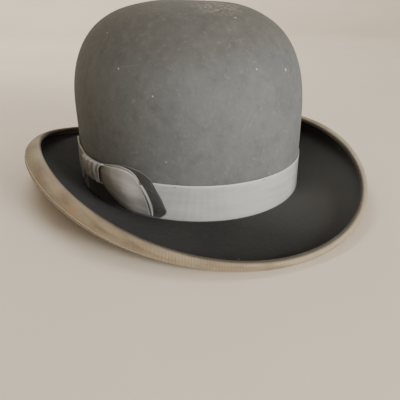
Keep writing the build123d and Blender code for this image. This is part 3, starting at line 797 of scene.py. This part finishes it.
def make_loop(name, node, top, foot, slant, rise, puff, crease, seed):
    """One loop of ribbon. top and foot are the heights of its edges along it, from the knot (0)
    to the fold (1). slant is the fold's angle at its foot and how far it leans back at the top.
    rise is how far the upper layer lies from the felt, puff how far it swells beyond that, and
    crease how deep it is pinched near the fold."""
    over = np.concatenate([np.linspace(0, 0.93, 62, endpoint=False), np.linspace(0.93, 1, 26)])
    under = np.linspace(1, 0.02, 26)
    turn = np.linspace(0, PI, 11)[1:-1]
    run = np.concatenate([over, np.ones(len(turn)), under])[:, None]
    side = np.concatenate([np.ones(len(over)), np.cos(turn), -np.ones(len(under))])[:, None]
    bulge = np.concatenate([np.zeros(len(over)), np.sin(turn), np.zeros(len(under))])[:, None]
    v = np.linspace(-1, 1, 40)[None, :]
    high = smooth_line(run, top)
    low = smooth_line(run, foot)
    height = low + (high - low) * (v + 1) / 2
    lean = np.clip((height - foot[-1][1]) / (top[-1][1] - foot[-1][1]), 0, 1) ** 2.2
    fold = slant[0] - slant[1] * lean
    open_share = smooth_step(run, 0.15, 0.6)
    swell = puff * open_share * (1 - 0.6 * smooth_step(run, 0.7, 1.0)) * (1 - ((v - 0.25) / 1.25) ** 2)
    gather = 1 - smooth_step(run, 0.12, 0.62)
    pleat = gather * (0.55 * np.sin(4.3 * PI * v + seed) + 0.3 * np.sin(8.1 * PI * v + 2 * seed))
    wrinkle = 0.18 * np.sin(9 * run + 3.1 * v + seed) * open_share
    pinch = crease * np.exp(-(((run - 0.982) / 0.006) ** 2)) * smooth_step(v, 0.95, 0.2)
    inner = rise - 0.6 + 0 * v
    outer = np.maximum(rise + swell + 0.8 * pleat + wrinkle - pinch, inner + 0.45)
    outset = (outer + inner) / 2 + (outer - inner) / 2 * side
    direction = math.copysign(1, slant[0] - KNOT_ANGLE)
    roundness = direction * np.degrees(bulge * (outer - inner) / 2 * MM / HALF_LENGTH)
    degrees = KNOT_ANGLE + (fold - KNOT_ANGLE) * run + roundness
    points = aged(crown_points(np.radians(degrees), -outset * MM, height * MM))
    if direction < 0:
        points = points[:, ::-1]
    piece = cloth(name, points, BOW_LOOK, thickness=0.42 * MM, selvage=0.5)
    finish_piece(piece, "bow_ribbon", node)


def make_bow_loops():
    waist_low, waist_high = WAIST
    make_loop(
        "bow_loop_rear_ribbon", "bow_loop_rear",
        top=(
            (0, waist_high), (0.15, waist_high), (0.5, 33.4), (0.72, 34.0),
            (0.87, 32.0), (0.95, 28.6), (1, 24.5),
        ),
        foot=((0, waist_low), (0.2, waist_low), (0.42, 10.0), (0.62, 4.6), (1, 3.4)),
        slant=(50.0, 4.6), rise=2.1, puff=4.3, crease=3.4, seed=0.7,
    )
    make_loop(
        "bow_loop_front_ribbon", "bow_loop_front",
        top=((0, waist_high), (0.12, waist_high), (0.4, 33.4), (0.9, 33.0), (1, 31.0)),
        foot=((0, waist_low), (0.15, waist_low), (0.35, 9.0), (0.6, 4.8), (1, 4.5)),
        slant=(-23.0, -4.0), rise=1.6, puff=0.1, crease=0.0, seed=2.2,
    )


# The tail's upper edge, as (share of its length, height in mm) corners, its lower edge's height
# in mm, and its cut end, as (height in mm, angle in degrees) corners.
TAIL_TOP = ((0, 16.5), (0.2, 17.5), (0.42, 30.0), (0.64, 34.6), (0.84, 34.6), (0.94, 32.6), (1, 29.0))
TAIL_FOOT = 2.4
TAIL_END = ((TAIL_FOOT, 53.6), (6.5, 56.2), (12.0, 55.3), (28.0, 50.3), (34.5, 48.5))
# Under the knot the tail stands for painted shade on the band.
TAIL_START = 8.0             # the angle where it begins, under the knot


def make_tail():
    """The dark ribbon end under the rear loop, cut on a slant. Its stretch under the knot is a dark sheet
    standing for painted shade on the band there.
    """
    u = np.linspace(0, 1, 60)[:, None]
    v = np.linspace(0, 1, 34)[None, :]
    high = smooth_line(u, TAIL_TOP)
    height = TAIL_FOOT + (high - TAIL_FOOT) * v
    end = smooth_line(height, TAIL_END)
    degrees = TAIL_START + (end - TAIL_START) * u
    lift = 0.45 * smooth_step(u, 0.85, 1.0) * (0.6 + 0.4 * np.cos(3 * v))
    outset = 1.0 + lift + 0.06 * np.sin(6 * u + 4 * v)
    points = aged(crown_points(np.radians(degrees), -outset * MM, height * MM))
    piece = cloth("bow_tail_ribbon", points, TAIL_LOOK, thickness=0.42 * MM, selvage=0.4)
    finish_piece(piece, "tail_ribbon", "bow_tail")


def make_knot():
    """The wrapped ribbon round the waist of the bow, creased lengthways by the gathering."""
    turn = turns(72)
    v = np.linspace(-1, 1, 40)[None, :]
    middle, half = (WAIST[0] + WAIST[1]) / 2, (WAIST[1] - WAIST[0]) / 2
    rounded_sin = np.sign(np.sin(turn)) * np.abs(np.sin(turn)) ** 0.55
    rounded_cos = np.sign(np.cos(turn)) * np.abs(np.cos(turn)) ** 0.7
    crease = 0.5 * np.sin(4.1 * PI * v + 0.6 + 1.6 * np.sin(turn))
    crease = crease + 0.25 * np.sin(8.7 * PI * v - 1.6 * np.sin(turn))
    front = smooth_step(np.cos(turn), -0.2, 0.5)
    belly = 0.6 * (1 - v * v)
    outset = np.maximum(2.9 + 1.85 * rounded_cos + (crease + belly) * front, 1.5)
    height = middle + (half + 1.4 + 0.5 * v * v) * rounded_sin
    half_turn = 7.3 - 0.8 * front * np.cos(turn) + 0.5 * np.sin(turn) ** 2
    degrees = KNOT_ANGLE + 1.8 + half_turn * v + 0.5 * np.sin(turn)
    points = aged(crown_points(np.radians(degrees), -outset * MM, height * MM))
    piece = cloth("bow_knot_wrap", points, BOW_LOOK, thickness=0.42 * MM, closed=True, selvage=0.5)
    finish_piece(piece, "bow_ribbon", "bow_knot")


def make_bow_tacks():
    ribbon_top = 2 * RIBBON + 0.75 * MM
    places = [
        (53, ribbon_top, 8 * MM), (50, ribbon_top, 21 * MM),
        (19, RIBBON + 0.35 * MM, 16.7 * MM), (13, RIBBON + 0.35 * MM, 16.7 * MM),
    ]
    piece = tack_row("bow_tack_threads", places, 0.2 * MM, 2.0 * MM, DARK_THREAD_LOOK)
    finish_piece(piece, "dark_thread", "bow_tacks")


# Inside the hat. Insets are measured inwards from the outside of the felt.
LEATHER_INSET = HALF_WIDTH - leather_high.x
LEATHER = 0.85 * MM
SLIP_INSET = 2.85 * MM
REED_INSET = 3.5 * MM
REED_HEIGHT = 1.2 * MM


def make_sweatband():
    """The leather strip, with a creased line below its upper edge and a butted rear join."""
    gap = 0.25 * MM / HALF_LENGTH
    angle = np.linspace(PI / 2 + gap, 5 * PI / 2 - gap, AROUND + 1)[:, None]
    low, high = leather_low.z - BREAK_Z, leather_high.z - BREAK_Z
    height = np.linspace(low, high, 44)[None, :]
    line = sum(np.exp(-(((height - (high - d * MM)) / (0.45 * MM)) ** 2)) for d in (3.0, 4.6))
    sag = 0.35 * MM * np.sin(5 * angle + 1) * smooth_step(height, low, high)
    sag = sag + 0.2 * MM * np.sin(11 * angle + 90 * height)
    inset = LEATHER_INSET + LEATHER / 2 + 0.3 * MM + np.maximum(sag, -0.25 * MM) - 0.18 * MM * line
    wave = 0.35 * MM * np.sin(7 * angle) * smooth_step(height, 0.8 * high, high)
    middle = aged(crown_points(angle, inset, height + wave))
    piece = cloth("sweatband_leather", middle, LEATHER_LOOK, thickness=LEATHER)
    finish_piece(piece, "leather", "sweatband")


def make_reed_casing():
    """Oiled tape round the cane, drawn in at each stitch, with its tail behind the leather."""
    angle = turns(2 * AROUND)
    turn = np.linspace(math.radians(40), math.radians(375), 22)[None, :]
    pinch = 1 + 0.035 * np.sin(angle * 110)
    radius = 1.22 * MM * pinch
    tail = np.linspace(9 * MM, REED_HEIGHT + 1.3 * MM, 8)[None, :] + 0 * angle
    inset = np.concatenate([np.full(tail.shape, 2.5 * MM), REED_INSET - radius * np.cos(turn)], 1)
    height = np.concatenate([tail, REED_HEIGHT + radius * np.sin(turn)], 1)
    middle = aged(crown_points(angle, inset[:, ::-1], height[:, ::-1]))
    piece = cloth("reed_casing_tape", middle, OILCLOTH_LOOK, thickness=0.3 * MM, closed=True)
    finish_piece(piece, "oilcloth", "reed_casing")


def make_sweatband_stitches(count=190, length=2.1 * MM, radius=0.22 * MM):
    places = []
    inset = LEATHER_INSET + LEATHER + 0.45 * MM
    low = leather_low.z - BREAK_Z
    for index in range(count):
        rise = 1.6 * MM if index % 2 else 2.3 * MM
        places.append((360 * (index + 0.5) / count, -inset, low + rise))
    piece = tack_row("sweatband_stitch_row", places, radius, length, STITCH_LOOK)
    finish_piece(piece, "thread", "sweatband_stitches")


def make_wall_slip(name, node, slot, look, centre, width, low, high, thickness):
    """A flat slip behind the leather: the join's tape or the size ticket."""
    half = math.degrees(width / 2 / HALF_WIDTH)
    angle = np.radians(np.linspace(centre - half, centre + half, 24))[:, None]
    height = np.linspace(low, high, 20)[None, :]
    curlup = 0.05 * MM * np.sin(30 * angle + 200 * height)
    middle = aged(crown_points(angle, SLIP_INSET + curlup, height))
    piece = cloth(name, middle, look, thickness=thickness)
    finish_piece(piece, slot, node)


def small_bow_ribbon(name, middle, thickness=0.3 * MM, closed=True):
    return cloth(name, middle, SMALL_BOW_LOOK, thickness=thickness, closed=closed)


def make_small_bow():
    """A narrow ribbon tied flat over the sweatband's rear join: two loops, a knot, two ends."""
    low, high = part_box("sweatband_bow")
    centre_z = (low.z + high.z) / 2
    base_y = (low.y + high.y) / 2
    pieces = []
    s = turns(72)
    v = np.linspace(-1, 1, 10)[None, :]
    for index, side in enumerate((1, -1)):
        x = side * (0.6 * MM + 9.6 * MM * np.sin(s / 2))
        y = base_y - 1.0 * MM * np.sin(s)
        z = centre_z + 0.6 * MM * np.sin(s / 2) + (1.3 * MM + 2.4 * MM * np.sin(s / 2)) * v
        pieces.append(small_bow_ribbon(f"small_bow_loop_{index}", join_axes(x, y, z)))
    turn = turns(32)
    y = base_y + 1.5 * MM * np.cos(turn) * (1 - 0.15 * v * v)
    z = centre_z + 1.9 * MM * np.sin(turn)
    pieces.append(small_bow_ribbon("small_bow_knot", join_axes(1.7 * MM * v, y, z)))
    t = np.linspace(0, 1, 16)[:, None]
    for index, side in enumerate((1, -1)):
        x = side * (0.8 + 5.5 * t) * MM + 0.9 * MM * v
        z = centre_z - (1.0 + 9.0 * t) * MM + side * 0.9 * MM * v
        end = join_axes(x, base_y + 0.9 * MM, z)
        pieces.append(small_bow_ribbon(f"small_bow_end_{index}", end, 0.25 * MM, closed=False))
    for piece in pieces:
        finish_piece(piece, "small_bow_ribbon", "sweatband_bow")


def make_lining():
    """Satin side with soft upright folds, the tip, and the piping in the seam between them."""
    inset = HALF_WIDTH - lining_high.x
    seam = lining_high.z - BREAK_Z
    thickness = 0.3 * MM
    angle = turns(2 * AROUND)
    heights = crown_heights(inset, lining_low.z - BREAK_Z, 16, 60)
    side_rows = heights[heights < seam]
    side_rows = np.append(side_rows, seam)[None, :]
    clear = smooth_step(side_rows, 52 * MM, 62 * MM)
    folds = 0.35 + 0.35 * np.sin(24 * angle) + 0.2 * np.sin(37 * angle + 1)
    folds = folds + 0.15 * np.sin(61 * angle + 60 * side_rows)
    depth = 1.1 * MM * np.maximum(folds, 0) * clear
    middle = aged(crown_points(angle, inset + thickness / 2 + depth, side_rows))
    piece = cloth("lining_side_satin", middle, SATIN_LOOK, thickness=thickness, closed=True)
    finish_piece(piece, "satin", "lining_side")

    share = np.linspace(1, 0.0, 40)
    start = float(dome_share(np.array(seam + 0.4 * MM), inset))
    tip_share = start * share[None, :]
    full = CROWN_HEIGHT - WALL_HEIGHT - inset
    tip_height = WALL_HEIGHT + full * (1 - tip_share**DOME_POWER) ** (1 / DOME_POWER)
    pucker = 0.35 * MM * np.sin(48 * angle) * smooth_step(share, 0.72, 1.0)[None, :]
    x = (HALF_WIDTH - inset) * tip_share * np.cos(angle)
    y = (HALF_LENGTH - inset) * tip_share * np.sin(angle)
    z = BREAK_Z + tip_height - thickness / 2 - 0.3 * MM + pucker
    tip = aged(join_axes(x, y, z))[:, ::-1]
    tip_piece = cloth("lining_tip_satin", tip, SATIN_LOOK, thickness, closed=True, round_edge=False)
    finish_piece(tip_piece, "satin", "lining_tip")

    radius = (piping_high.z - piping_low.z) / 2
    half_x, half_y = piping_high.x - radius, piping_high.y - radius
    turn = full_turn(14)[None, :]
    twist = radius * (1 + 0.05 * np.sin(150 * angle + 2 * turn))
    x = (half_x + twist * np.cos(turn)) * np.cos(angle)
    y = (half_y + twist * np.cos(turn)) * np.sin(angle)
    z = (piping_low.z + piping_high.z) / 2 + twist * np.sin(turn) + 0 * angle
    points = aged(join_axes(x, y, z))
    rows, columns = points.shape[:2]
    uv = np.stack(np.meshgrid(np.linspace(0, 0.5, rows), np.linspace(0, 0.006, columns), indexing="ij"), -1)
    faces = grid_faces(rows, columns, True, closed_columns=True)
    cord = new_object("lining_piping_cord", points.reshape(-1, 3), faces, PIPING_LOOK, uv.reshape(-1, 2))
    finish_piece(tidy(cord), "piping", "lining_piping")


make_felt()
make_binding()
make_binding_stitches()
make_band()
make_band_tacks()
make_tail()
make_bow_loops()
make_knot()
make_bow_tacks()
make_sweatband()
make_reed_casing()
make_sweatband_stitches()
make_wall_slip(
    "joint_tape", "sweatband_joint_tape", "tape", TAPE_LOOK,
    centre=90, width=12 * MM, low=11 * MM, high=47 * MM, thickness=0.2 * MM,
)
make_wall_slip(
    "blank_size_ticket", "size_ticket", "ticket", PAPER_LOOK,
    centre=-60, width=32 * MM, low=12 * MM, high=40 * MM, thickness=0.15 * MM,
)
make_small_bow()
make_lining()
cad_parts["sweatband_reed"].data.materials.clear()
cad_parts["sweatband_reed"].data.materials.append(CANE_LOOK)


# --- Floor, lights and camera ---

CAMERA_AZIMUTH = math.radians(158.97)    # from behind, on the wearer's left
CAMERA_ELEVATION = math.radians(11.99)
CAMERA_ROLL = math.radians(-1.22)
CAMERA_DISTANCE = 0.3731
CAMERA_TARGET = Vector((0, 0, BREAK_Z + 0.060))
CAMERA_PAN = math.radians(-1.75)         # the view is turned right of the target
CAMERA_TILT = math.radians(12.51)        # and down from it
LENS_PER_WIDTH = 1.1265                  # focal length over the picture's width
SENSOR = 36.0


def make_camera():
    back = Vector((
        math.sin(CAMERA_AZIMUTH) * math.cos(CAMERA_ELEVATION),
        -math.cos(CAMERA_AZIMUTH) * math.cos(CAMERA_ELEVATION),
        math.sin(CAMERA_ELEVATION),
    ))
    right = (-back).cross(Vector((0, 0, 1))).normalized()
    up = right.cross(-back)
    turn = Matrix((right, up, back)).transposed()
    roll = Matrix.Rotation(CAMERA_ROLL, 3, "Z")
    tilt = Matrix.Rotation(-CAMERA_TILT, 3, "X")
    pan = Matrix.Rotation(CAMERA_PAN, 3, "Y")
    data = bpy.data.cameras.new("camera")
    data.sensor_width = SENSOR
    data.lens = LENS_PER_WIDTH * SENSOR
    camera = bpy.data.objects.new("camera", data)
    move = Matrix.Translation(CAMERA_TARGET + back * CAMERA_DISTANCE)
    camera.matrix_world = move @ (turn @ roll @ tilt @ pan).to_4x4()
    bpy.context.scene.collection.objects.link(camera)
    bpy.context.scene.camera = camera


def add_light(name, place, size, power, colour=(1, 1, 1), target=CAMERA_TARGET):
    data = bpy.data.lights.new(name, "AREA")
    data.shape = "DISK"
    data.size = size
    data.energy = power
    data.color = colour
    light = bpy.data.objects.new(name, data)
    light.location = place
    light.rotation_euler = (Vector(target) - Vector(place)).to_track_quat("-Z", "Y").to_euler()
    bpy.context.scene.collection.objects.link(light)


FLOOR_RADIUS = 1.6
SWEEP = 0.8                  # how far the backdrop's curve reaches out and up


def make_stage():
    """A pale floor that sweeps up into a backdrop on every side."""
    paint = Painter("pale_floor", roughness=0.7, specular=0.2)
    colour = paint.mix(paint.fit(paint.noise(3, 3), 0.35, 0.7), (0.77, 0.69, 0.58), (0.81, 0.73, 0.62))
    material = paint.finish(colour, paint.bump(paint.noise(300, 3), 0.0002, 0.2))
    bend_up = np.linspace(0.1, PI / 2, 12)
    sweep = FLOOR_RADIUS + SWEEP * np.sin(bend_up)
    radius = np.concatenate([[0.0], np.linspace(0.3, FLOOR_RADIUS, 8), sweep, [FLOOR_RADIUS + SWEEP]])
    height = np.concatenate([np.zeros(9), SWEEP * (1 - np.cos(bend_up)), [3.0]])
    angle = turns(96)
    points = join_axes(radius * np.cos(angle), radius * np.sin(angle), height + 0 * angle)
    floor = new_object("floor", points.reshape(-1, 3), grid_faces(96, len(radius), True), material)
    tidy(floor)


make_camera()
make_stage()
add_light("key", (-0.54, 1.50, 0.42), 0.66, 40, (1.0, 0.99, 0.97))
add_light("fill", (1.9, 0.9, 1.0), 1.6, 1)
add_light("top", (-0.5, 0.3, 2.3), 1.8, 4)
add_light("backdrop", (0.1, -0.9, 1.6), 1.2, 30, (1.0, 0.97, 0.92), (0.2, -2.2, 0.0))
world = bpy.data.worlds.new("studio")
world.use_nodes = True
world.node_tree.nodes["Background"].inputs["Color"].default_value = (0.88, 0.88, 0.87, 1)
world.node_tree.nodes["Background"].inputs["Strength"].default_value = 0.24
bpy.context.scene.world = world
